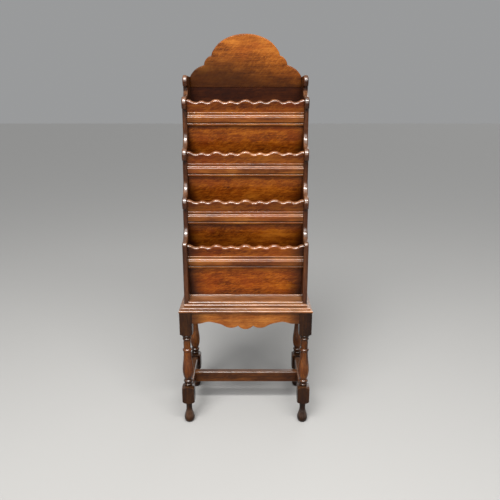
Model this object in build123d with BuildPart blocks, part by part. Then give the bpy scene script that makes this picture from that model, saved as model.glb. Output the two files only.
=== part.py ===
from build123d import *
import os
from math import atan, cos, radians, sin, sqrt, tan

# Four-tier magazine rack on a turned-leg stand, in millimetres.
# +Z is up, the front faces -Y, and the origin is the middle of the footprint on the floor.

os.makedirs("parts", exist_ok=True)

# ---------------------------------------------------------------- driving dimensions

# stand
LEG_SQUARE = 34.0
LEG_X = 164.0
LEG_Y = 99.0
STAND_W = 364.0
STAND_D = 238.0
STAND_TOP_Z = 344.5
LOWER_STEP = 6.5
UPPER_STEP = 5.5
STEP_SETBACK = 6.0
LOWER_BLOCK = (62.0, 117.0)
UPPER_BLOCK_Z = 275.0
LOWER_SHOULDER = 11.0
UPPER_SHOULDER = 7.0

# rails and stretchers
RAIL_T = 16.0
RAIL_SETBACK = 3.0
RAIL_Z = 306.0
TENON_L = 12.0
TENON_T = 8.0
TENON_SHOULDER = 6.0
STRETCHER_T = 20.0
STRETCHER_Z = (75.0, 108.0)

# rack
INNER_W = 310.0
SIDE_T = 13.0
HOUSING = 5.0
RACK_Z = STAND_TOP_Z + LOWER_STEP + UPPER_STEP
FLOOR_T = 13.5
FLOOR_Z = RACK_Z + FLOOR_T
SIDE_FRONT_Y = -99.0
SIDE_TOP_Z = 964.0
BACK_Y = 107.0
BACK_T = 9.0
PANEL_TOP_Z = 935.0
CREST_T = 9.0
CREST_TOP_Z = 1074.0

# pocket fronts, from the top tier down: height of the wave's peaks
TIER_Z = (900.0, 768.0, 643.0, 526.0)
TOP_TIER_Y = -5.0
TIER_STEP_Y = 28.0
TILT = 14.0
FRONT_T = 12.0
WAVE_PITCH = 77.5
WAVE_H = 7.2
LOBE_HALF_W = 22.5
BUMP_H = 3.5
BUMP_HALF_W = 14.5
CROWN_SHARE = 0.57
WAVE_FRONT_R = 5.5
WAVE_BACK_R = 4.0

# side panel scallops
LOBE_PROUD = 10.0
LOBE_H = 30.0
LOBE_BELOW_PEAK = 6.0
NOTCH = 14.0
TOP_LOBE_Y = 24.0

# foot moulding
BASE_PROUD = 6.0
BASE_H = 8.0

# ---------------------------------------------------------------- derived dimensions

HALF_W = INNER_W / 2
OUTER_X = HALF_W + SIDE_T
HOUSED_X = HALF_W + HOUSING
LEG_HALF = LEG_SQUARE / 2
LEG_CORNER = LEG_HALF * sqrt(2)
PANEL_Y = BACK_Y - BACK_T
LEAN = tan(radians(TILT))
TIER_Y = [TOP_TIER_Y - TIER_STEP_Y * tier for tier in range(4)]
RAIL_SPAN_X = LEG_X - LEG_HALF
RAIL_SPAN_Y = LEG_Y - LEG_HALF
APRON_Y = -(LEG_Y + LEG_HALF - RAIL_SETBACK)
SIDE_RAIL_X = LEG_X + LEG_HALF - RAIL_SETBACK


def save(piece, name):
    """Label a finished piece and write it as one STEP file."""
    piece.part.label = name
    export_step(piece.part, f"parts/{name}.step")


def box_between(low, high):
    """A box from its lowest corner to its highest corner, inside the open part."""
    size = [top - bottom for bottom, top in zip(low, high)]
    with Locations(tuple((bottom + top) / 2 for bottom, top in zip(low, high))):
        Box(*size)


# ---------------------------------------------------------------- fasteners

SCREW_X = 120.0
SCREW_Y = 70.0
SCREW_R = 1.9
SCREW_HEAD_R = 3.8
SCREW_HEAD_H = 3.0
SCREW_TIP_Z = FLOOR_Z - 4.0

with BuildPart() as rack_screws:
    with Locations((0, 0, STAND_TOP_Z)):
        with GridLocations(2 * SCREW_X, 2 * SCREW_Y, 2, 2):
            Cone(
                SCREW_HEAD_R, SCREW_R, SCREW_HEAD_H,
                align=(Align.CENTER, Align.CENTER, Align.MIN),
            )
            Cylinder(
                SCREW_R, SCREW_TIP_Z - STAND_TOP_Z,
                align=(Align.CENTER, Align.CENTER, Align.MIN),
            )
save(rack_screws, "rack_screws")

NAIL_R = 1.0
NAIL_HEAD_R = 2.0
NAIL_HEAD_T = 1.0
NAIL_L = 19.0
NAIL_X = HALF_W + HOUSING / 2
NAIL_PITCH = 155.0
NAIL_ROWS = 4
NAIL_MID_Z = 665.0

with BuildPart() as back_panel_nails:
    for radius, length in ((NAIL_R, NAIL_L), (NAIL_HEAD_R, NAIL_HEAD_T)):
        with BuildSketch(Plane.XZ.offset(-BACK_Y)):
            with Locations((0, NAIL_MID_Z)):
                with GridLocations(2 * NAIL_X, NAIL_PITCH, 2, NAIL_ROWS):
                    Circle(radius)
        extrude(amount=length)
save(back_panel_nails, "back_panel_nails")

# ---------------------------------------------------------------- stand: rails


def rail_tenons(span, centre, z_low, z_high, along):
    """Tenons past both shoulders of a rail that runs along X or Y."""
    for end in (-1, 1):
        inner, outer = sorted((end * span, end * (span + TENON_L)))
        cheek = (centre - TENON_T / 2, centre + TENON_T / 2)
        if along == "X":
            box_between((inner, cheek[0], z_low), (outer, cheek[1], z_high))
        else:
            box_between((cheek[0], inner, z_low), (cheek[1], outer, z_high))


APRON_END_Z = 311.0
APRON_LOBE = (0.0, 295.0)
APRON_CUSP = (20.5, 305.0)
APRON_SIDE_LOBE = (41.0, 298.8)
APRON_OGEE = ((60.0, 305.5), (71.0, 310.5), (84.0, 313.8), (104.0, 316.8), (121.0, 312.2))
APRON_FLAT_X = 128.0
APRON_CHAMFER = 1.2


def apron_half(side):
    """Lower edge of the apron from its middle to one leg; side is -1 or 1."""
    def point(x, z):
        return (side * x, z)

    if side > 0:
        ThreePointArc(point(-APRON_CUSP[0], APRON_CUSP[1]), APRON_LOBE, point(*APRON_CUSP))
    ThreePointArc(point(*APRON_CUSP), point(*APRON_SIDE_LOBE), point(*APRON_OGEE[0]))
    Spline(*[point(*knot) for knot in APRON_OGEE], point(APRON_FLAT_X, APRON_END_Z))
    Polyline(
        point(APRON_FLAT_X, APRON_END_Z),
        point(RAIL_SPAN_X, APRON_END_Z),
        point(RAIL_SPAN_X, STAND_TOP_Z),
        (0, STAND_TOP_Z),
    )


with BuildPart() as front_apron:
    with BuildSketch(Plane.XZ.offset(-APRON_Y)):
        with BuildLine():
            apron_half(-1)
            apron_half(1)
        make_face()
    extrude(amount=-RAIL_T)
    front_lower = front_apron.edges().filter_by(
        lambda edge: edge.center().Y < APRON_Y + 0.1 and edge.center().Z < STAND_TOP_Z - 20
        and abs(edge.center().X) < RAIL_SPAN_X - 1
    )
    chamfer(front_lower, APRON_CHAMFER)
    rail_tenons(
        RAIL_SPAN_X, APRON_Y + RAIL_T / 2, APRON_END_Z + TENON_SHOULDER, STAND_TOP_Z, "X"
    )
save(front_apron, "front_apron")

with BuildPart() as back_rail:
    box_between((-RAIL_SPAN_X, -APRON_Y - RAIL_T, RAIL_Z), (RAIL_SPAN_X, -APRON_Y, STAND_TOP_Z))
    rail_tenons(
        RAIL_SPAN_X, -APRON_Y - RAIL_T / 2, RAIL_Z + TENON_SHOULDER, STAND_TOP_Z, "X"
    )
save(back_rail, "back_rail")

SIDE_ARCH_Y = 62.0
SIDE_ARCH_Z = 320.0


def side_rail(name, side):
    """Rail under one side of the stand top, with a shallow arched lower edge."""
    outer = side * SIDE_RAIL_X
    with BuildPart() as rail:
        with BuildSketch(Plane.YZ.offset(outer)):
            with BuildLine():
                Polyline(
                    (SIDE_ARCH_Y, RAIL_Z), (RAIL_SPAN_Y, RAIL_Z), (RAIL_SPAN_Y, STAND_TOP_Z),
                    (-RAIL_SPAN_Y, STAND_TOP_Z), (-RAIL_SPAN_Y, RAIL_Z), (-SIDE_ARCH_Y, RAIL_Z),
                )
                ThreePointArc((-SIDE_ARCH_Y, RAIL_Z), (0, SIDE_ARCH_Z), (SIDE_ARCH_Y, RAIL_Z))
            make_face()
        extrude(amount=-side * RAIL_T)
        rail_tenons(
            RAIL_SPAN_Y, outer - side * RAIL_T / 2, RAIL_Z + TENON_SHOULDER, STAND_TOP_Z, "Y"
        )
    save(rail, name)
    return rail


left_rail = side_rail("left_rail", -1)
right_rail = side_rail("right_rail", 1)

# ---------------------------------------------------------------- stand: stretchers

STRETCHER_ROUND = 4.5
STRETCHER_CHAMFER = 1.0
CROSS_SPAN = LEG_X - STRETCHER_T / 2


def stretcher_section():
    """Cross-section of a stretcher, in a sketch drawn across its length."""
    with Locations((0, sum(STRETCHER_Z) / 2)):
        Rectangle(STRETCHER_T, STRETCHER_Z[1] - STRETCHER_Z[0])


with BuildPart() as cross_stretcher:
    with BuildSketch(Plane.YZ):
        stretcher_section()
    extrude(amount=CROSS_SPAN, both=True)
    long_edges = cross_stretcher.edges().filter_by(Axis.X)
    fillet(long_edges.group_by(Axis.Z)[-1], STRETCHER_ROUND)
    chamfer(cross_stretcher.edges().filter_by(Axis.X).group_by(Axis.Z)[0], STRETCHER_CHAMFER)
    rail_tenons(
        CROSS_SPAN, 0, STRETCHER_Z[0] + TENON_SHOULDER, STRETCHER_Z[1] - TENON_SHOULDER, "X"
    )
save(cross_stretcher, "cross_stretcher")


def side_stretcher(name, side):
    """Stretcher between the lower blocks of the two legs on one side."""
    plane = Plane(origin=(side * LEG_X, 0, 0), x_dir=(1, 0, 0), z_dir=(0, -1, 0))
    with BuildPart() as bar:
        with BuildSketch(plane):
            stretcher_section()
        extrude(amount=RAIL_SPAN_Y, both=True)
        fillet(bar.edges().filter_by(Axis.Y).group_by(Axis.Z)[-1], STRETCHER_ROUND)
        chamfer(bar.edges().filter_by(Axis.Y).group_by(Axis.Z)[0], STRETCHER_CHAMFER)
        rail_tenons(
            RAIL_SPAN_Y, side * LEG_X,
            STRETCHER_Z[0] + TENON_SHOULDER, STRETCHER_Z[1] - TENON_SHOULDER, "Y",
        )
        add(cross_stretcher.part, mode=Mode.SUBTRACT)
    save(bar, name)
    return bar


left_stretcher = side_stretcher("left_stretcher", -1)
right_stretcher = side_stretcher("right_stretcher", 1)

# ---------------------------------------------------------------- stand: legs

# foot and ankle: radius at each height
FOOT = ((10.0, 0.0), (14.8, 14.5), (11.8, 28.0), (8.8, 38.5), (8.5, 49.0))
ANKLE_R = 9.0
NECK_R = 9.5
# turned beads: low edge, high edge, radius
LOWER_BEADS = ((118.0, 124.0, 12.2), (126.0, 136.0, 13.0))
UPPER_BEADS = ((223.0, 232.0, 12.8),)
TOP_BEADS = ((259.0, 265.0, 12.2), (267.0, 274.0, 12.8))
BALUSTER = ((12.6, 145.5), (15.1, 164.0), (13.0, 191.0))
BALUSTER_TOP_R = 10.6
BALUSTER_QUIRK = 1.0
NECK_SWELL = 0.6
BLOCK_CHAMFER = 0.8
# shoulder section: radius past the face of the block, share of the shoulder's height
SHOULDER_FOOT = (-2.5, 0.12)
SHOULDER_MID = (3.5, 0.36)
SHOULDER_END = (1.0, 1.0)


def bead(low, high, radius):
    """A half-round ring standing out of the neck."""
    ThreePointArc((NECK_R, low), (radius, (low + high) / 2), (NECK_R, high))


def beads_and_fillets(beads, start_z):
    """Rings from the lowest up, with straight quirks between them."""
    at = start_z
    for low, high, radius in beads:
        if low > at:
            Line((NECK_R, at), (NECK_R, low))
        bead(low, high, radius)
        at = high
    return at


def shoulder(neck_r, z, rise):
    """Turned shoulder where a square block meets a neck; rise is positive going up into it."""
    inner = (LEG_HALF + SHOULDER_FOOT[0], z + rise * SHOULDER_FOOT[1])
    middle = (LEG_HALF + SHOULDER_MID[0], z + rise * SHOULDER_MID[1])
    outer = (LEG_CORNER + SHOULDER_END[0], z + rise * SHOULDER_END[1])
    Line((neck_r, z), inner)
    ThreePointArc(inner, middle, outer)
    return outer


def leg_outline():
    """Half outline of the turning, as radius and height, before the blocks are squared."""
    Line((0, 0), FOOT[0])
    Spline(*FOOT, (ANKLE_R, LOWER_BLOCK[0]))
    low_corner = shoulder(ANKLE_R, LOWER_BLOCK[0], LOWER_SHOULDER)
    high_corner = shoulder(NECK_R, LOWER_BLOCK[1], -LOWER_SHOULDER)
    Line(low_corner, high_corner)
    at = beads_and_fillets(LOWER_BEADS, LOWER_BLOCK[1])
    baluster_top = (BALUSTER_TOP_R, UPPER_BEADS[0][0] - BALUSTER_QUIRK)
    Spline((NECK_R, at), *BALUSTER, baluster_top, tangents=[(0.35, 1), (-0.03, 1)])
    Line(baluster_top, (NECK_R, UPPER_BEADS[0][0]))
    at = beads_and_fillets(UPPER_BEADS, UPPER_BEADS[0][0])
    ThreePointArc(
        (NECK_R, at), (NECK_R + NECK_SWELL, (at + TOP_BEADS[0][0]) / 2), (NECK_R, TOP_BEADS[0][0])
    )
    at = beads_and_fillets(TOP_BEADS, TOP_BEADS[0][0])
    Line((NECK_R, at), (NECK_R, UPPER_BLOCK_Z))
    top_corner = shoulder(NECK_R, UPPER_BLOCK_Z, UPPER_SHOULDER)
    Polyline(top_corner, (top_corner[0], STAND_TOP_Z), (0, STAND_TOP_Z), (0, 0))


def turned_leg(name, x, y, joined):
    """A leg at x, y: turned, squared at its blocks, and mortised for the joined rails."""
    with BuildPart() as leg:
        with BuildSketch(Plane(origin=(x, y, 0), x_dir=(1, 0, 0), z_dir=(0, -1, 0))):
            with BuildLine():
                leg_outline()
            make_face()
        revolve(axis=Axis((x, y, 0), (0, 0, 1)))
        with BuildSketch(Plane.XY):
            with Locations((x, y)):
                Rectangle(LEG_SQUARE, LEG_SQUARE)
                chamfer(vertices(), BLOCK_CHAMFER)
        extrude(amount=STAND_TOP_Z, mode=Mode.INTERSECT)
        for rail in joined:
            add(rail.part, mode=Mode.SUBTRACT)
    save(leg, name)


turned_leg("front_left_leg", -LEG_X, -LEG_Y, (front_apron, left_rail, left_stretcher))
turned_leg("front_right_leg", LEG_X, -LEG_Y, (front_apron, right_rail, right_stretcher))
turned_leg("back_left_leg", -LEG_X, LEG_Y, (back_rail, left_rail, left_stretcher))
turned_leg("back_right_leg", LEG_X, LEG_Y, (back_rail, right_rail, right_stretcher))

# ---------------------------------------------------------------- stand: top and glue blocks

STEP_ROUND = 3.2
STEP_UNDER_ROUND = 2.0
UPPER_STEP_ROUND = 3.0

with BuildPart() as stand_top:
    with BuildSketch(Plane.XY.offset(STAND_TOP_Z)):
        Rectangle(STAND_W, STAND_D)
    extrude(amount=LOWER_STEP)
    fillet(stand_top.edges().group_by(Axis.Z)[-1], STEP_ROUND)
    fillet(stand_top.edges().group_by(Axis.Z)[0], STEP_UNDER_ROUND)
    with BuildSketch(Plane.XY.offset(STAND_TOP_Z + LOWER_STEP)):
        Rectangle(STAND_W - 2 * STEP_SETBACK, STAND_D - 2 * STEP_SETBACK)
    extrude(amount=UPPER_STEP)
    fillet(stand_top.edges().group_by(Axis.Z)[-1], UPPER_STEP_ROUND)
    add(rack_screws.part, mode=Mode.SUBTRACT)
save(stand_top, "stand_top")

GLUE_BLOCK = 14.0
GLUE_BLOCK_L = 26.0
GLUE_BLOCK_Y = 34.0
RAIL_INNER_X = SIDE_RAIL_X - RAIL_T

with BuildPart() as glue_blocks:
    for side in (-1, 1):
        for y in (-GLUE_BLOCK_Y, GLUE_BLOCK_Y):
            with BuildSketch(Plane.XZ.offset(-y)):
                with BuildLine():
                    Polyline(
                        (side * RAIL_INNER_X, STAND_TOP_Z),
                        (side * (RAIL_INNER_X - GLUE_BLOCK), STAND_TOP_Z),
                        (side * RAIL_INNER_X, STAND_TOP_Z - GLUE_BLOCK),
                        close=True,
                    )
                make_face()
            extrude(amount=GLUE_BLOCK_L / 2, both=True)
save(glue_blocks, "glue_blocks")

# ---------------------------------------------------------------- rack: base board and back

BOARD_SETBACK = 1.0
NOSING_R = 4.5

with BuildPart() as base_board:
    box_between((-HOUSED_X, SIDE_FRONT_Y + BOARD_SETBACK, RACK_Z), (HOUSED_X, PANEL_Y, FLOOR_Z))
    nosing = base_board.edges().filter_by(Axis.X).group_by(Axis.Y)[0].sort_by(Axis.Z)[-1]
    fillet(nosing, NOSING_R)
    add(rack_screws.part, mode=Mode.SUBTRACT)
save(base_board, "base_board")

TONGUE_H = 6.0
TONGUE_T = 3.0
TONGUE_Y = PANEL_Y + BACK_T / 2
JOINT_CHAMFER = 1.4

with BuildPart() as back_panel:
    box_between((-HOUSED_X, PANEL_Y, RACK_Z), (HOUSED_X, BACK_Y, PANEL_TOP_Z))
    top_front = back_panel.edges().filter_by(Axis.X).group_by(Axis.Z)[-1].sort_by(Axis.Y)[0]
    chamfer(top_front, JOINT_CHAMFER)
    box_between(
        (-HALF_W, TONGUE_Y - TONGUE_T / 2, PANEL_TOP_Z),
        (HALF_W, TONGUE_Y + TONGUE_T / 2, PANEL_TOP_Z + TONGUE_H),
    )
    add(back_panel_nails.part, mode=Mode.SUBTRACT)
save(back_panel, "back_panel")

# crest outline: an elliptical arch, then a small quarter round, then the shoulder
ARCH_A = 96.0
ARCH_B = 67.6
ARCH_FOOT_X = 94.5
SMALL_ROUND = ((103.6, 1013.9), (111.6, 1005.6), (115.5, 993.4))
CREST_END_Z = 962.0
CREST_SHOULDER = ((127.0, 989.0), (140.0, 981.5), (150.0, 971.0), (HALF_W, CREST_END_Z))
CREST_ROUND = 3.0


def arch_z(x):
    """Height of the elliptical arch at x."""
    return CREST_TOP_Z - ARCH_B + ARCH_B * sqrt(1 - (x / ARCH_A) ** 2)


def crest_half(side):
    """Outline of one half of the crest, from its top middle to its lower middle."""
    def point(x, z):
        return (side * x, z)

    arch_foot = point(ARCH_FOOT_X, arch_z(ARCH_FOOT_X))
    arch = [point(x, arch_z(x)) for x in (0, 30, 55, 75, 88)]
    Spline(*arch, arch_foot, tangents=[(side, 0), (side * 0.16, -1)])
    Spline(
        arch_foot, *[point(*knot) for knot in SMALL_ROUND],
        tangents=[(side, -0.35), (side * 0.12, -1)],
    )
    Spline(
        point(*SMALL_ROUND[-1]), *[point(*knot) for knot in CREST_SHOULDER],
        tangents=[(side, -0.3), (side * 0.3, -1)],
    )
    Polyline(point(HALF_W, CREST_END_Z), point(HALF_W, PANEL_TOP_Z), (0, PANEL_TOP_Z))


with BuildPart() as crest_board:
    with BuildSketch(Plane.XZ.offset(-BACK_Y)):
        with BuildLine():
            crest_half(-1)
            crest_half(1)
        make_face()
    extrude(amount=CREST_T)
    crest_front = crest_board.edges().filter_by(
        lambda edge: edge.center().Y < BACK_Y - CREST_T + 0.1 and edge.center().Z > CREST_END_Z
    )
    fillet(crest_front, CREST_ROUND)
    add(back_panel.part, mode=Mode.SUBTRACT)
save(crest_board, "crest_board")

# ---------------------------------------------------------------- rack: pocket fronts


def front_plane(tier):
    """Plane of a pocket front's face: origin at the wave's peaks, y up the board."""
    angle = radians(TILT)
    origin = (0, TIER_Y[tier], TIER_Z[tier])
    return Plane(origin=origin, x_dir=(1, 0, 0), z_dir=(0, -cos(angle), -sin(angle)))


def swell(middle, half_w, height, side):
    """One side of a lobe or bump of the wave: two tangent arcs from its foot to its crown."""
    turn = 2 * atan(height / half_w)
    crown_r = CROWN_SHARE * half_w / sin(turn)
    foot = (middle + side * half_w, -WAVE_H)
    crown = (middle, height - WAVE_H)
    bend = (middle + side * crown_r * sin(turn), crown[1] - crown_r * (1 - cos(turn)))
    TangentArc(foot, bend, tangent=(-side, 0))
    TangentArc(crown, bend, tangent=(side, 0))


def wave_edge():
    """Wavy top edge: broad lobes with a small bump between each two; ends on half lobes."""
    for period in range(-2, 2):
        left = period * WAVE_PITCH
        right = left + WAVE_PITCH
        bump = left + WAVE_PITCH / 2
        swell(left, LOBE_HALF_W, WAVE_H, 1)
        swell(right, LOBE_HALF_W, WAVE_H, -1)
        for side, lobe in ((-1, left), (1, right)):
            swell(bump, BUMP_HALF_W, BUMP_H, side)
            Line((bump + side * BUMP_HALF_W, -WAVE_H), (lobe - side * LOBE_HALF_W, -WAVE_H))


def wave_edges(board, tier):
    """Edges of the wavy top, front ones and back ones together."""
    return board.edges().filter_by(
        lambda edge: edge.center().Z > TIER_Z[tier] - 2 * FRONT_T
        and abs(edge.center().X) < HOUSED_X - 1
        and abs(edge.tangent_at(0.5).X) > 0.5
    )


def pocket_front(tier):
    """A sloping board with a wavy, rounded top, cut off at the floor and the back panel."""
    length = (TIER_Z[tier] - FLOOR_Z) / cos(radians(TILT)) + FRONT_T
    with BuildPart() as board:
        with BuildSketch(front_plane(tier)):
            with BuildLine():
                wave_edge()
                Polyline(
                    (HALF_W, 0), (HOUSED_X, 0), (HOUSED_X, -length),
                    (-HOUSED_X, -length), (-HOUSED_X, 0), (-HALF_W, 0),
                )
            make_face()
        extrude(amount=-FRONT_T)
        face = front_plane(tier)
        front_edges = [
            edge for edge in wave_edges(board, tier)
            if abs(face.to_local_coords(edge.center()).Z) < 0.1
        ]
        fillet(front_edges, WAVE_FRONT_R)
        back_edges = [
            edge for edge in wave_edges(board, tier)
            if abs(face.to_local_coords(edge.center()).Z + FRONT_T) < 0.1
        ]
        fillet(back_edges, WAVE_BACK_R)
        split(bisect_by=Plane.XY.offset(FLOOR_Z), keep=Keep.TOP)
        split(bisect_by=Plane.XZ.offset(-PANEL_Y), keep=Keep.TOP)
    save(board, f"pocket_front_{tier + 1}")
    return board


pocket_fronts = [pocket_front(tier) for tier in range(4)]

# moulding profile: distance out from the face, distance down the board from the peaks
ASTRAGAL = (32.0, 36.0)
ASTRAGAL_OUT = 2.2
COVE_TOP = (0.8, 36.5)
COVE_MID = (2.2, 40.8)
COVE_FOOT = (6.0, 42.5)
BAND_SHOULDER = (7.5, 43.6)
BAND_OUT = 8.0
BAND = (46.0, 57.0)
QUIRK_OUT = 3.0
QUIRK = (58.5, 60.0)
LOWER_BEAD = ((6.6, 62.5), (6.4, 65.5))
MOULDING_END = (1.0, 69.0)


def pocket_moulding(tier):
    """Two-line moulding planted on a pocket front, drawn in section and run along X."""
    angle = radians(TILT)
    section = Plane(
        origin=(-HALF_W, TIER_Y[tier], TIER_Z[tier]),
        x_dir=(0, -cos(angle), -sin(angle)), z_dir=(1, 0, 0),
    )
    with BuildPart() as moulding:
        with BuildSketch(section):
            with BuildLine():
                astragal_foot = (COVE_TOP[0], ASTRAGAL[1])
                ThreePointArc(
                    (0, ASTRAGAL[0]), (ASTRAGAL_OUT, sum(ASTRAGAL) / 2), astragal_foot
                )
                Line(astragal_foot, COVE_TOP)
                ThreePointArc(COVE_TOP, COVE_MID, COVE_FOOT)
                ThreePointArc(COVE_FOOT, BAND_SHOULDER, (BAND_OUT, BAND[0]))
                Polyline(
                    (BAND_OUT, BAND[0]), (BAND_OUT, BAND[1]),
                    (QUIRK_OUT, QUIRK[0]), (QUIRK_OUT, QUIRK[1]),
                )
                Spline((QUIRK_OUT, QUIRK[1]), *LOWER_BEAD, MOULDING_END)
                Polyline(MOULDING_END, (0, MOULDING_END[1]), (0, ASTRAGAL[0]))
            make_face()
        extrude(amount=INNER_W)
    save(moulding, f"pocket_moulding_{tier + 1}")


for tier in range(4):
    pocket_moulding(tier)

# ---------------------------------------------------------------- rack: pocket floors

POCKET_DEPTH = 240.0
POCKET_FLOOR_T = 10.0


def pocket_floor(tier, behind):
    """Floor between one pocket front and whatever stands behind it."""
    top = TIER_Z[tier] - POCKET_DEPTH
    with BuildPart() as floor:
        box_between((-HOUSED_X, TIER_Y[tier], top - POCKET_FLOOR_T), (HOUSED_X, PANEL_Y, top))
        for board in behind:
            add(board.part, mode=Mode.SUBTRACT)
    pieces = floor.part.solids()
    with BuildPart() as strip:
        front_y = TIER_Y[tier] + POCKET_DEPTH * LEAN + FRONT_T
        kept = [piece for piece in pieces if piece.bounding_box().max.Y > front_y]
        add(sorted(kept, key=lambda piece: piece.center().Y)[0])
    save(strip, f"pocket_floor_{tier + 1}")
    return strip


pocket_floors = [
    pocket_floor(0, (pocket_fronts[0],)),
    pocket_floor(1, (pocket_fronts[1], pocket_fronts[0])),
]

# small bead along the foot of the lowest front
BEAD_T = 4.0
BEAD_ROUND = 3.4
FOOT_Y = TIER_Y[3] + (TIER_Z[3] - FLOOR_Z) * LEAN

with BuildPart() as foot_bead:
    box_between((-HALF_W, FOOT_Y - BEAD_T, FLOOR_Z), (HALF_W, FOOT_Y + BEAD_T, FLOOR_Z + BEAD_T))
    outer_edge = foot_bead.edges().filter_by(Axis.X).group_by(Axis.Y)[0].sort_by(Axis.Z)[-1]
    fillet(outer_edge, BEAD_ROUND)
    add(pocket_fronts[3].part, mode=Mode.SUBTRACT)
    split(bisect_by=Plane.XZ.offset(-FOOT_Y), keep=Keep.TOP)
save(foot_bead, "foot_bead")

# ---------------------------------------------------------------- rack: side panels

TOP_LOBE_H = 30.0
LOBE_CHIN = 5.0
LOBE_BROW = (10.0, 3.0)
LOBE_NOSE_SHARE = 0.42
TOP_NOSE_SHARE = 0.55
LOW_BEND = (2.6, 7.5)
LOW_BROW_RISE = 12.0
HOLLOW_BULGE = 0.29
RECESS_RISE = (24.0, 54.0, 54.0, 52.0)
CONVEX_R = 4.6
CONCAVE_R = 3.5
EDGE_ROUND = 4.0
LOBE_Y = [y - LOBE_PROUD for y in TIER_Y]
RECESS_Y = [y + NOTCH for y in [TOP_LOBE_Y] + LOBE_Y[:3]]
CHIN_Z = [SIDE_TOP_Z - TOP_LOBE_H] + [z + LOBE_BELOW_PEAK - LOBE_H for z in TIER_Z[:3]]


def hollow(low, high):
    """Concave sweep that runs back from a lobe and turns straight up."""
    ThreePointArc(
        low,
        (
            high[0] - (high[0] - low[0]) * HOLLOW_BULGE,
            low[1] + (high[1] - low[1]) * HOLLOW_BULGE,
        ),
        high,
    )


def side_outline():
    """Front edge from the foot to the top, then down the back."""
    foot = (SIDE_FRONT_Y, RACK_Z)
    brow = (SIDE_FRONT_Y + LOBE_BROW[0], TIER_Z[3] + LOW_BROW_RISE)
    recess = (RECESS_Y[3], TIER_Z[3] + RECESS_RISE[3])
    Line(foot, (SIDE_FRONT_Y, TIER_Z[3]))
    bend = (SIDE_FRONT_Y + LOW_BEND[0], TIER_Z[3] + LOW_BEND[1])
    ThreePointArc((SIDE_FRONT_Y, TIER_Z[3]), bend, brow)
    hollow(brow, recess)
    for tier in (2, 1, 0):
        chin_z = TIER_Z[tier] + LOBE_BELOW_PEAK - LOBE_H
        chin = (LOBE_Y[tier] + LOBE_CHIN, chin_z)
        brow = (LOBE_Y[tier] + LOBE_BROW[0], chin_z + LOBE_H + LOBE_BROW[1])
        Polyline(recess, (recess[0], chin_z), chin)
        ThreePointArc(chin, (LOBE_Y[tier], chin_z + LOBE_H * LOBE_NOSE_SHARE), brow)
        recess = (RECESS_Y[tier], TIER_Z[tier] + RECESS_RISE[tier])
        hollow(brow, recess)
    chin = (TOP_LOBE_Y + LOBE_CHIN, SIDE_TOP_Z - TOP_LOBE_H)
    top = (TOP_LOBE_Y + LOBE_BROW[0], SIDE_TOP_Z)
    Polyline(recess, (recess[0], chin[1]), chin)
    ThreePointArc(chin, (TOP_LOBE_Y, SIDE_TOP_Z - TOP_LOBE_H * TOP_NOSE_SHARE), top)
    Polyline(top, (BACK_Y, SIDE_TOP_Z), (BACK_Y, RACK_Z), foot)


def inner_corner(vertex):
    """True at the inner corner under a lobe, in the side's own sketch."""
    return any(abs(vertex.X - y) < 0.1 for y in RECESS_Y)


def on_scallops(vertex):
    """True on the scalloped stretch of the front edge, in the side's own sketch."""
    return vertex.X < BACK_Y - 1 and vertex.Y > TIER_Z[3] + 1


def side_panel(name, side):
    """A side with a rounded scalloped edge, housed for the boards, floors and back."""
    with BuildPart() as panel:
        with BuildSketch(Plane.YZ.offset(side * HALF_W)):
            with BuildLine():
                side_outline()
            make_face()
            corners = vertices().filter_by(on_scallops)
            fillet(corners.filter_by(lambda corner: not inner_corner(corner)), CONVEX_R)
            chins = vertices().filter_by(
                lambda corner: inner_corner(corner)
                and any(abs(corner.Y - z) < 0.1 for z in CHIN_Z)
            )
            fillet(chins, CONCAVE_R)
        extrude(amount=side * SIDE_T)
        front = panel.edges().filter_by(
            lambda edge: edge.center().Y < BACK_Y - 1 and RACK_Z < edge.center().Z
            and edge.bounding_box().size.X < 0.1 and edge.center().Z < SIDE_TOP_Z - 0.1
        )
        fillet(front, EDGE_ROUND)
        for board in pocket_fronts + pocket_floors + [base_board, back_panel, back_panel_nails]:
            add(board.part, mode=Mode.SUBTRACT)
    save(panel, name)
    return panel


left_side = side_panel("left_side", -1)
right_side = side_panel("right_side", 1)

# ---------------------------------------------------------------- rack: foot moulding

BASE_ROUND = 4.5

with BuildPart() as base_moulding:
    box_between((-OUTER_X, SIDE_FRONT_Y - BASE_PROUD, RACK_Z), (OUTER_X, SIDE_FRONT_Y, RACK_Z + BASE_H))
    top_edges = base_moulding.edges().group_by(Axis.Z)[-1]
    fillet(top_edges.group_by(Axis.Y)[:-1], BASE_ROUND)
save(base_moulding, "base_moulding")
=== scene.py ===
import math

import bpy
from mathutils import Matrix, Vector


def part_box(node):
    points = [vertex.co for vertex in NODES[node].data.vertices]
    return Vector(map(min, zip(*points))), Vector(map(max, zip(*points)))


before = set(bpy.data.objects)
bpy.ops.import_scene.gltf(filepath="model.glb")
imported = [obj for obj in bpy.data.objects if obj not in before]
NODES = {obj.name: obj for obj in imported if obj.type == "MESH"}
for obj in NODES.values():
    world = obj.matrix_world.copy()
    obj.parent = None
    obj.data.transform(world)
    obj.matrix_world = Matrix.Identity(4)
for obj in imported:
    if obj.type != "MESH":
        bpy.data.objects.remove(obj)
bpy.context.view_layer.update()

# ---------------------------------------------------------------- node helpers

NOISE_MIDDLE = 0.5


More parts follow.
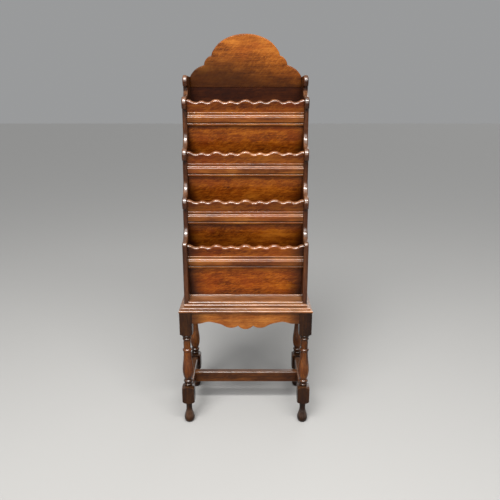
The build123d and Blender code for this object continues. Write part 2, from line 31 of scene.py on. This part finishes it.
class Tree:
    """Adds shader nodes to a material one call at a time."""

    def __init__(self, name):
        self.material = bpy.data.materials.new(name)
        self.material.use_nodes = True
        self.tree = self.material.node_tree
        self.bsdf = self.tree.nodes["Principled BSDF"]

    def add(self, kind, inputs=None, **settings):
        """A new node with its settings and inputs; an input is a value or another socket."""
        node = self.tree.nodes.new(kind)
        for key, value in settings.items():
            setattr(node, key, value)
        for key, value in (inputs or {}).items():
            self.feed(node.inputs[key], value)
        return node

    def feed(self, socket, value):
        """Give a socket a value or a link."""
        if isinstance(value, bpy.types.NodeSocket):
            self.tree.links.new(value, socket)
        else:
            socket.default_value = value

    def shader(self, **inputs):
        """Set or link the shader's own sockets, named with _ for a space."""
        for key, value in inputs.items():
            self.feed(self.bsdf.inputs[key.replace("_", " ")], value)

    def math(self, operation, first, second=0.0, clamp=False):
        """One math node's result."""
        inputs = {0: first, 1: second}
        return self.add("ShaderNodeMath", inputs, operation=operation, use_clamp=clamp).outputs[0]

    def around_middle(self, value, spread):
        """A noise value's difference from its middle, times a spread."""
        return self.math("MULTIPLY", self.math("SUBTRACT", value, NOISE_MIDDLE), spread)

    def ramp(self, factor, stops):
        """A colour ramp; each stop is a position and a grey level or a colour."""
        node = self.add("ShaderNodeValToRGB", {"Fac": factor})
        elements = node.color_ramp.elements
        while len(elements) < len(stops):
            elements.new(0.5)
        for element, (position, colour) in zip(elements, stops):
            grey = isinstance(colour, (int, float))
            element.position = position
            element.color = (colour, colour, colour, 1) if grey else (*colour, 1)
        return node.outputs["Color"]

    def mask(self, value, none, full, least=0.0):
        """Least up to one value and 1 from the other, whichever of the two is lower."""
        return self.ramp(value, sorted(((none, least), (full, 1.0))))

    def remap(self, value, start, end, at_start, at_end, kind="SMOOTHSTEP"):
        """A value's range turned into another range."""
        inputs = {"Value": value, 1: start, 2: end, 3: at_start, 4: at_end}
        return self.add("ShaderNodeMapRange", inputs, interpolation_type=kind).outputs[0]

    def mix(self, factor, first, second):
        """Mix two colours."""
        node = self.add("ShaderNodeMix", data_type="RGBA")
        for key, value in ((0, factor), (6, first), (7, second)):
            if isinstance(value, tuple) and len(value) == 3:
                value = (*value, 1)
            self.feed(node.inputs[key], value)
        return node.outputs[2]

    def noise(self, vector, detail=4.0, roughness=0.55, distortion=0.0, scale=1.0):
        """A noise value."""
        inputs = {
            "Vector": vector, "Scale": scale, "Detail": detail,
            "Roughness": roughness, "Distortion": distortion,
        }
        return self.add("ShaderNodeTexNoise", inputs).outputs["Fac"]

    def mapped(self, vector, scale, rotation=(0, 0, 0), location=(0, 0, 0)):
        """A vector stretched by scale after it is turned by rotation."""
        turned = self.add(
            "ShaderNodeMapping", {"Vector": vector, "Rotation": rotation, "Location": location}
        ).outputs[0]
        return self.add("ShaderNodeMapping", {"Vector": turned, "Scale": scale}).outputs[0]

    def bump(self, height, strength, distance):
        """A normal raised by a height, in metres."""
        inputs = {"Height": height, "Strength": strength, "Distance": distance}
        return self.add("ShaderNodeBump", inputs).outputs[0]


# ---------------------------------------------------------------- oak

# turns that bring a board's grain on to X
GRAIN_TURN = {"X": (0, 0, 0), "Y": (0, 0, math.pi / 2), "Z": (0, math.pi / 2, 0)}

# noise features per metre, along the grain and across it
WANDER_SCALE = (2.2, 9, 9)
BAND_SCALE = (3.5, 65, 65)
FINE_SCALE = (28, 420, 420)
PORE_SCALE = (45, 1100, 1100)
FLECK_SCALE = (60, 240, 240)
CLOUD_SCALE = (10, 16, 16)
WARMTH_SCALE = (6, 12, 12)
SMEAR_SCALE = (9, 16, 16)
HAND_SCALE = (7, 14, 14)

# how far the grain wanders sideways, in metres, and where the warm patches are
WANDER_Y = 0.035
WANDER_Z = 0.03
WARMTH_SHIFT = (3.3, 1.1, 2.2)

# noise values between which each mask goes from nothing to full
PORE_RANGE = (0.42, 0.3)
LIGHT_FLECK_RANGE = (0.5, 0.64)
DARK_FLECK_RANGE = (0.47, 0.36)
WARMTH_RANGE = (0.5, 0.66)
# ambient occlusion values for the painted shade in corners
CORNER_RANGE = (0.8, 0.3)
PATCH_RANGE = (0.3, 0.7)
PATCH_LEAST = 0.45

# tone: the shares of its noises, and the values that stand for dark, middle and light wood
BAND_SHARE = 0.45
CLOUD_SHARE = 0.55
FINE_SHARE = 0.36
TONE_DARK = 0.36
TONE_MIDDLE = 0.5
TONE_LIGHT = 0.64
PALE_DARK = 0.40
PALE_LIGHT = 0.60

# red patches: their strength, and their red and green against the middle stain's
WARMTH = 0.4
WARM_RED = 1.15
WARM_GREEN = 0.85

# linear colour of the painted sheen on faces that look up and of dry wood, and their darkest and
# lightest shares
TOP_SHEEN = (0.30, 0.145, 0.070)
TOP_SHEEN_SHARES = (0.5, 1.15)
BARE = (0.170, 0.088, 0.042)
BARE_SHARES = (0.45, 1.5)

# dark places, as shares of the darkest stain, and how strong or wide they are; the corner ones are
# painted shade
PORE_SHADE = 0.3
PORE_STRENGTH = 0.55
CORNER_SHADE = 0.25
CORNER_STRENGTH = 0.6
CORNER_REACH = 0.014
FADE_SHADE = 0.15
FADE_UNEVEN = 0.05
DARK_FLECK = 0.7

# how far up a face looks where the painted sheen and the upward coat start and are full, and the same
# for a rear face
UP_FACING_FROM = -0.05
UP_FACING_FULL = 0.55
REAR_FROM = 0.3
REAR_FULL = 0.9

# polish and relief
COAT_ROUGHNESS = 0.12
COAT_IOR = 1.6
SMEAR = 0.2
PORE_ROUGHNESS = 0.12
HAND_RELIEF = 0.9
PORE_RELIEF = 0.1
FINE_RELIEF = 0.07
RELIEF_STRENGTH = 0.25
RELIEF_DEPTH = 0.001


def shaded(colour, share):
    """A darker or lighter version of a colour."""
    return tuple(channel * share for channel in colour)


class Grain:
    """The noise of one board, with X along its grain."""

    def __init__(self, t, where, axis, shift, fleck_turn):
        self.along = t.add(
            "ShaderNodeMapping",
            {"Vector": where, "Rotation": GRAIN_TURN[axis], "Location": shift},
        ).outputs[0]
        bent = self.bend(t)
        bands = t.noise(t.mapped(bent, BAND_SCALE), detail=5.0, roughness=0.6)
        pores = t.noise(t.mapped(bent, PORE_SCALE), detail=2.0, roughness=0.6)
        warm_place = t.mapped(self.along, WARMTH_SCALE, location=WARMTH_SHIFT)
        fleck_place = t.mapped(self.along, FLECK_SCALE, rotation=(0, fleck_turn, 0))
        self.pores = t.mask(pores, *PORE_RANGE)
        self.fine = t.noise(t.mapped(bent, FINE_SCALE), detail=3.0, roughness=0.7)
        self.clouds = t.noise(t.mapped(self.along, CLOUD_SCALE), detail=6.0, roughness=0.68)
        self.warmth = t.noise(warm_place, detail=3.0)
        self.flecks = t.noise(fleck_place, detail=3.0, roughness=0.65, distortion=0.8)
        coarse = t.math(
            "ADD", t.math("MULTIPLY", bands, BAND_SHARE), t.math("MULTIPLY", self.clouds, CLOUD_SHARE)
        )
        self.tone = t.math("ADD", coarse, t.around_middle(self.fine, FINE_SHARE))

    def bend(self, t):
        """A slow wander, so that the lines of the grain are never ruler straight."""
        wander = t.noise(t.mapped(self.along, WANDER_SCALE), detail=3.0)
        offset = t.add("ShaderNodeCombineXYZ", {
            "Y": t.around_middle(wander, WANDER_Y),
            "Z": t.around_middle(wander, WANDER_Z),
        }).outputs[0]
        inputs = {0: self.along, 1: offset}
        return t.add("ShaderNodeVectorMath", inputs, operation="ADD").outputs[0]


def stained(t, grain, tones, fleck):
    """Stain that follows the grain, with light and dark ray fleck and redder patches."""
    dark, middle, light = tones
    colour = t.ramp(grain.tone, ((TONE_DARK, dark), (TONE_MIDDLE, middle), (TONE_LIGHT, light)))
    light_fleck = t.math("MULTIPLY", t.mask(grain.flecks, *LIGHT_FLECK_RANGE), fleck)
    colour = t.mix(light_fleck, colour, light)
    dark_fleck = t.math("MULTIPLY", t.mask(grain.flecks, *DARK_FLECK_RANGE), fleck * DARK_FLECK)
    colour = t.mix(dark_fleck, colour, dark)
    reddish = t.math("MULTIPLY", t.mask(grain.warmth, *WARMTH_RANGE), WARMTH)
    return t.mix(reddish, colour, (middle[0] * WARM_RED, middle[1] * WARM_GREEN, middle[2]))


def faded(t, grain, where, colour, dark, fades):
    """Darker colour that fades in along a direction.

    Each fade is a direction, a weight for the distance from the middle, how far along these
    it is darkest, how far along it ends, and its strength.
    """
    sideways = t.add("ShaderNodeSeparateXYZ", {"Vector": where}).outputs["X"]
    outward = t.math("ABSOLUTE", sideways)
    uneven = t.around_middle(grain.clouds, FADE_UNEVEN)
    for direction, out_weight, darkest, end, strength in fades:
        inputs = {0: where, 1: direction}
        place = t.add("ShaderNodeVectorMath", inputs, operation="DOT_PRODUCT").outputs["Value"]
        place = t.math("ADD", place, t.math("MULTIPLY", outward, out_weight))
        span = t.remap(t.math("ADD", place, uneven), darkest, end, strength, 0.0)
        colour = t.mix(span, colour, shaded(dark, FADE_SHADE))
    return colour


def painted_corner_shade(t, colour, dark):
    """Painted shade: corners darkened where ambient occlusion finds them close."""
    near = t.add("ShaderNodeAmbientOcclusion", {"Distance": CORNER_REACH}, samples=4)
    shade = t.mask(near.outputs["AO"], *CORNER_RANGE)
    return t.mix(t.math("MULTIPLY", shade, CORNER_STRENGTH), colour, shaded(dark, CORNER_SHADE))


def dried(t, grain, rearward, colour, strength):
    """A rear face that was left without polish."""
    low, high = (shaded(BARE, share) for share in BARE_SHARES)
    dry = t.ramp(grain.tone, ((TONE_DARK, low), (TONE_LIGHT, high)))
    behind = t.remap(rearward, REAR_FROM, REAR_FULL, 0.0, strength, kind="LINEAR")
    return t.mix(behind, colour, dry)


def painted_top_sheen(t, grain, up_facing, colour, strength):
    """Faces that look up, painted paler in patches: a painted sheen of the light from above."""
    low, high = (shaded(TOP_SHEEN, share) for share in TOP_SHEEN_SHARES)
    pale = t.ramp(grain.tone, ((PALE_DARK, low), (PALE_LIGHT, high)))
    patchy = t.math("MULTIPLY", up_facing, t.mask(grain.clouds, *PATCH_RANGE, least=PATCH_LEAST))
    return t.mix(t.math("MULTIPLY", patchy, strength), colour, pale)


def oak(name, axis, shift, tones, fleck=0.25, fleck_turn=0.5, gloss=0.3, top_sheen=0.3, wax=0.06,
        polish=0.9, specular=0.15, fades=(), bare_back=0.0):
    """Old polished oak: ring bands, pores, ray fleck, painted shade and painted sheen,
    along one axis of the piece.

    gloss is the roughness under the coat, wax and polish are the coat on upright faces and on
    faces that look up, top_sheen is how pale those are painted as a painted sheen of the light
    from above, and bare_back is how dry and unpolished a rear face is.
    """
    t = Tree(name)
    coordinates = t.add("ShaderNodeTexCoord")
    where = coordinates.outputs["Object"]
    facing = t.add("ShaderNodeSeparateXYZ", {"Vector": coordinates.outputs["Normal"]}).outputs
    grain = Grain(t, where, axis, shift, fleck_turn)
    up_facing = t.remap(facing["Z"], UP_FACING_FROM, UP_FACING_FULL, 0.0, 1.0)

    dark = tones[0]
    colour = stained(t, grain, tones, fleck)
    colour = faded(t, grain, where, colour, dark, fades)
    # painted shade in corners, found by ambient occlusion
    colour = painted_corner_shade(t, colour, dark)
    if bare_back:
        colour = dried(t, grain, facing["Y"], colour, bare_back)
    # painted sheen: faces that look up are drawn paler, standing for the light from above
    colour = painted_top_sheen(t, grain, up_facing, colour, top_sheen)
    pore_dark = t.math("MULTIPLY", grain.pores, PORE_STRENGTH)
    colour = t.mix(pore_dark, colour, shaded(dark, PORE_SHADE))

    smear = t.noise(t.mapped(grain.along, SMEAR_SCALE), detail=3.0)
    rough = t.math("ADD", gloss, t.around_middle(smear, SMEAR))
    pore_rough = t.math("MULTIPLY", grain.pores, PORE_ROUGHNESS)
    rough = t.math("ADD", rough, pore_rough, clamp=True)
    coat = t.math("ADD", t.math("MULTIPLY", up_facing, polish - wax), wax)

    hand = t.noise(t.mapped(grain.along, HAND_SCALE), detail=2.0)
    pore_drop = t.math("MULTIPLY", grain.pores, PORE_RELIEF)
    height = t.math("SUBTRACT", t.math("MULTIPLY", hand, HAND_RELIEF), pore_drop)
    height = t.math("ADD", height, t.math("MULTIPLY", grain.fine, FINE_RELIEF))
    raised = t.bump(height, RELIEF_STRENGTH, RELIEF_DEPTH)

    t.shader(
        Base_Color=colour, Roughness=rough, Specular_IOR_Level=specular, Normal=raised,
        Coat_Weight=coat, Coat_Roughness=COAT_ROUGHNESS, Coat_IOR=COAT_IOR, Coat_Normal=raised,
    )
    return t.material


STEEL = (0.2, 0.19, 0.18)
RUST = (0.12, 0.05, 0.02)
RUST_SCALE = 900.0
RUST_RANGE = (0.5, 0.62)
STEEL_ROUGHNESS = ((0.4, 0.35), (0.65, 0.7))


def steel():
    """Dull fastener steel with a little rust."""
    t = Tree("steel")
    where = t.add("ShaderNodeTexCoord").outputs["Object"]
    spots = t.noise(where, scale=RUST_SCALE)
    t.shader(
        Base_Color=t.mix(t.mask(spots, *RUST_RANGE), STEEL, RUST), Metallic=0.8,
        Roughness=t.ramp(spots, STEEL_ROUGHNESS), Normal=t.bump(spots, 0.3, 0.0004),
    )
    return t.material


# ---------------------------------------------------------------- materials of the pieces

# darkest, middle and lightest stain, as linear colour
PANEL_TONES = ((0.042, 0.0066, 0.0005), (0.152, 0.0320, 0.0018), (0.295, 0.088, 0.007))
CREST_TONES = ((0.065, 0.014, 0.001), (0.170, 0.045, 0.004), (0.275, 0.090, 0.011))
BAND_TONES = ((0.055, 0.011, 0.0015), (0.150, 0.042, 0.005), (0.260, 0.092, 0.015))
LEDGE_TONES = ((0.050, 0.013, 0.003), (0.120, 0.037, 0.008), (0.230, 0.085, 0.022))
APRON_TONES = ((0.058, 0.013, 0.0015), (0.170, 0.047, 0.006), (0.300, 0.108, 0.019))
FRAME_TONES = ((0.010, 0.0028, 0.0009), (0.030, 0.0085, 0.0024), (0.075, 0.023, 0.006))
LEG_TONES = ((0.016, 0.0038, 0.0006), (0.066, 0.0175, 0.0022), (0.200, 0.064, 0.008))
CROSS_TONES = ((0.012, 0.0030, 0.0005), (0.038, 0.0100, 0.0014), (0.095, 0.030, 0.0045))
INNER_TONES = ((0.007, 0.0011, 0.0002), (0.017, 0.0030, 0.0003), (0.038, 0.0085, 0.0010))

# per pocket front, from the top down: how light it is drawn, and how dark the painted shade at its
# two ends is
TIER_BRIGHTNESS = (0.92, 0.98, 0.84, 1.32)
TIER_END_SHADE = (0.2, 0.35, 0.4, 0.95)

# step from one tier's timber to the next, and from a front to its moulding
TIER_SHIFT = (0.37, 0.21, 0.11)
MOULDING_SHIFT = 0.4

# distances of the fades, in metres: how far past an edge they are darkest, and their reach
PAST_EDGE = 0.01
FRONT_END_REACH = 0.06
FRONT_CORNER_REACH = 0.04
FRONT_FOOT_REACH = 0.03
ABOVE_MOULDING = 0.015
BELOW_MOULDING = 0.010
MOULDING_END_REACH = 0.03
CREST_DARK = 0.010
CREST_REACH = 0.105
APRON_END_REACH = 0.05

# down a leg: from its top to the upper block's foot and on, and from the stretchers' top up
BLOCK_DROP = 0.0695
BLOCK_FADE_DROP = 0.1095
BLOCK_RISE = 0.017
BLOCK_FADE_RISE = 0.042

# directions of a fade: none but outward, up, and up the crest with its right side lighter,
# since the painted shadow of the left side falls on the crest's left
NOWHERE = (0, 0, 0)
UP = (0, 0, 1)
CREST_UP = (0.22, 0, 1)

# how far outward the painted shade in a front's lower corners moves for each metre up
CORNER_DROP = 0.4


def paint(node, material):
    """Give a CAD node one material."""
    mesh = NODES[node].data
    mesh.materials.clear()
    mesh.materials.append(material)


def paint_tier(number):
    """A pocket front with its moulding; each board has its own shift through the grain."""
    shift = tuple(step * number for step in TIER_SHIFT)
    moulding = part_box(f"pocket_moulding_{number}")[1]
    half = moulding.x
    if number < len(TIER_BRIGHTNESS):
        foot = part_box(f"pocket_front_{number + 1}")[1].z
    else:
        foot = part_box("foot_bead")[0].z
    corner = half - CORNER_DROP * foot
    fades = (
        # painted shade at the two ends, where the sides shade the front
        (NOWHERE, 1.0, half + PAST_EDGE, half - FRONT_END_REACH, TIER_END_SHADE[number - 1]),
        # painted shade low on the front, deep in the pocket behind the next front
        (UP, 0.0, foot - PAST_EDGE, foot + FRONT_FOOT_REACH, 0.3),
        (UP, 0.0, moulding.z + ABOVE_MOULDING, moulding.z - BELOW_MOULDING, 0.42),
        # painted shade in the lower corners, widening downward
        ((0, 0, -CORNER_DROP), 1.0, corner + PAST_EDGE, corner - FRONT_CORNER_REACH, 0.9),
    )
    tones = [shaded(tone, TIER_BRIGHTNESS[number - 1]) for tone in PANEL_TONES]
    paint(f"pocket_front_{number}", oak(
        f"oak_front_{number}", "X", shift, tones, fleck=0.5, fleck_turn=0.45, top_sheen=0.5,
        polish=1.0, specular=0.12, fades=fades,
    ))
    paint(f"pocket_moulding_{number}", oak(
        f"oak_moulding_{number}", "X", (shift[0], shift[1] + MOULDING_SHIFT, 0), BAND_TONES,
        fleck=0.15, top_sheen=0.12, polish=0.5,
        # painted shade at the moulding's ends, beside the sides
        fades=((NOWHERE, 1.0, half, half - MOULDING_END_REACH, 0.5),),
    ))


def paint_back():
    """The crest and the panel below it, with dry rear faces."""
    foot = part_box("crest_board")[0].z
    paint("crest_board", oak(
        "oak_crest", "X", (3.1, 0.3, 0.7), CREST_TONES, fleck=0.4, fleck_turn=0.75, top_sheen=0.0,
        wax=0.0, polish=0.1, specular=0.06, bare_back=0.9,
        # painted shade and painted reflection darken the crest's foot, more on the left, in the
        # painted shadow of the left side
        fades=((CREST_UP, 0.0, foot + CREST_DARK, foot + CREST_REACH, 0.87),),
    ))
    paint("back_panel", oak(
        "oak_back", "X", (4.1, 0.2, 0.1), INNER_TONES, fleck=0.2, gloss=0.42, top_sheen=0.0, wax=0.0,
        polish=0.3, specular=0.05, bare_back=0.9,
    ))


def paint_apron():
    """The front apron, darker towards the legs."""
    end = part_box("front_apron")[1].x - PAST_EDGE
    paint("front_apron", oak(
        "oak_front_apron", "X", (2.9, 0.8, 0.2), APRON_TONES, fleck=0.3,
        fades=((NOWHERE, 1.0, end, end - APRON_END_REACH, 0.75),),
    ))


def paint_boards():
    """The plain boards: grain axis, shift through the grain, stain, and the painted sheen on faces
    that look up.
    """
    for node, axis, shift, tones, top_sheen in (
        ("stand_top", "X", (2.2, 0.1, 0.3), LEDGE_TONES, 0.85),
        ("base_board", "X", (2.6, 0.4, 0.5), LEDGE_TONES, 0.6),
        ("base_moulding", "X", (2.4, 0.2, 0.1), LEDGE_TONES, 0.6),
        ("foot_bead", "X", (2.9, 0.1, 0.4), BAND_TONES, 0.6),
        ("back_rail", "X", (3.3, 0.2, 0.4), FRAME_TONES, 0.3),
        ("left_rail", "Y", (0.3, 1.2, 0.4), FRAME_TONES, 0.3),
        ("right_rail", "Y", (0.6, 1.7, 0.4), FRAME_TONES, 0.3),
        ("left_stretcher", "Y", (1.3, 1.2, 0.4), FRAME_TONES, 0.35),
        ("right_stretcher", "Y", (1.6, 1.7, 0.4), FRAME_TONES, 0.35),
        ("cross_stretcher", "X", (1.9, 0.7, 0.4), CROSS_TONES, 0.2),
    ):
        paint(node, oak(f"oak_{node}", axis, shift, tones, top_sheen=top_sheen))
    for number, node in enumerate(("left_side", "right_side")):
        shift = (0.5 + number, 0.2 + 0.4 * number, 0.1)
        paint(node, oak(f"oak_{node}", "Z", shift, FRAME_TONES, wax=0.18, polish=1.0))


def paint_legs():
    """The turned legs, with darker square blocks."""
    stretcher_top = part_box("left_stretcher")[1].z
    for number, node in enumerate(
        ("front_left_leg", "front_right_leg", "back_left_leg", "back_right_leg")
    ):
        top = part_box(node)[1].z
        paint(node, oak(
            f"oak_{node}", "Z", (0.2 + 0.4 * number, 2.2 + 0.3 * number, 0.1), LEG_TONES,
            gloss=0.26, top_sheen=0.12, wax=0.12, polish=1.0, specular=0.10,
            fades=(
                (UP, 0.0, top - BLOCK_DROP, top - BLOCK_FADE_DROP, 0.85),
                (UP, 0.0, stretcher_top + BLOCK_RISE, stretcher_top + BLOCK_FADE_RISE, 0.85),
            ),
        ))


def paint_hidden():
    """Pocket floors, glue blocks and the fasteners."""
    for node in ("pocket_floor_1", "pocket_floor_2", "glue_blocks"):
        paint(node, oak(
            f"oak_{node}", "X", (5.0, 0.3, 0.2), INNER_TONES, fleck=0.1, gloss=0.5, top_sheen=0.2,
        ))
    metal = steel()
    for node in ("rack_screws", "back_panel_nails"):
        paint(node, metal)


# ---------------------------------------------------------------- stage, light and camera

FLOOR_SIZE = 40.0
FLOOR_GREY = (0.34, 0.337, 0.33, 1)
SKY_GREY = (0.80, 0.81, 0.82, 1)
SKY_STRENGTH = 0.40
SOFT_WHITE = (1, 0.98, 0.95)
DAYLIGHT = (1, 0.98, 0.96)

CAMERA_HEIGHT = 0.900
CAMERA_BACK = 1.433
CAMERA_RIGHT = 0.012
CAMERA_PITCH = math.radians(16.0)
LENS = 37.66
SENSOR = 36.0


def floor():
    """A flat, plain pale floor."""
    t = Tree("studio_floor")
    t.shader(Base_Color=FLOOR_GREY, Roughness=0.85)
    half = FLOOR_SIZE / 2
    mesh = bpy.data.meshes.new("studio_floor")
    corners = [(-half, -half, 0), (half, -half, 0), (half, half, 0), (-half, half, 0)]
    mesh.from_pydata(corners, [], [(0, 1, 2, 3)])
    mesh.materials.append(t.material)
    obj = bpy.data.objects.new("studio_floor", mesh)
    bpy.context.scene.collection.objects.link(obj)


def place_lamp(name, data, aim, location=(0, 0, 0)):
    """Add a light that shines along a direction."""
    lamp = bpy.data.objects.new(name, data)
    lamp.location = location
    lamp.rotation_euler = aim.to_track_quat("-Z", "Y").to_euler()
    bpy.context.scene.collection.objects.link(lamp)


def area_light(name, location, target, size, power, colour):
    """A soft rectangular light that points at a target."""
    data = bpy.data.lights.new(name, "AREA")
    data.shape = "RECTANGLE"
    data.size, data.size_y = size
    data.energy = power
    data.color = colour
    place_lamp(name, data, Vector(target) - Vector(location), location)


def sun_light(name, direction, strength, angle):
    """A broad soft light from a direction, the same everywhere."""
    data = bpy.data.lights.new(name, "SUN")
    data.energy = strength
    data.angle = math.radians(angle)
    place_lamp(name, data, -Vector(direction))


def lights():
    """An even grey world, two broad suns and three soft boxes in front."""
    world = bpy.data.worlds.new("studio_world")
    world.use_nodes = True
    background = world.node_tree.nodes["Background"]
    background.inputs["Color"].default_value = SKY_GREY
    background.inputs["Strength"].default_value = SKY_STRENGTH
    bpy.context.scene.world = world
    bpy.context.scene.view_settings.view_transform = "Standard"
    sun_light("sky", direction=(-0.25, -0.8, 1.0), strength=1.6, angle=26.0)
    area_light(
        "ceiling", location=(0, -0.85, 2.2), target=(0, -0.55, 0.6), size=(2.4, 1.3),
        power=16.0, colour=SOFT_WHITE,
    )
    area_light(
        "strip", location=(0, -1.15, 2.0), target=(0, -0.1, 0.8), size=(2.2, 0.22),
        power=48.0, colour=SOFT_WHITE,
    )
    area_light(
        "window", location=(-0.3, -3.0, 1.95), target=(0, 0, 0.75), size=(3.0, 1.3),
        power=68.0, colour=DAYLIGHT,
    )
    sun_light("rear_fill", direction=(0.5, 1.0, 0.6), strength=0.4, angle=40.0)


def camera():
    """The camera at the height, distance and tilt of a standing view from the front."""
    data = bpy.data.cameras.new("camera")
    data.sensor_width = SENSOR
    data.lens = LENS
    obj = bpy.data.objects.new("camera", data)
    obj.location = (CAMERA_RIGHT, -CAMERA_BACK, CAMERA_HEIGHT)
    obj.rotation_euler = (math.pi / 2 - CAMERA_PITCH, 0, 0)
    bpy.context.scene.collection.objects.link(obj)
    bpy.context.scene.camera = obj


for tier in range(1, len(TIER_BRIGHTNESS) + 1):
    paint_tier(tier)
paint_back()
paint_apron()
paint_boards()
paint_legs()
paint_hidden()
floor()
lights()
camera()
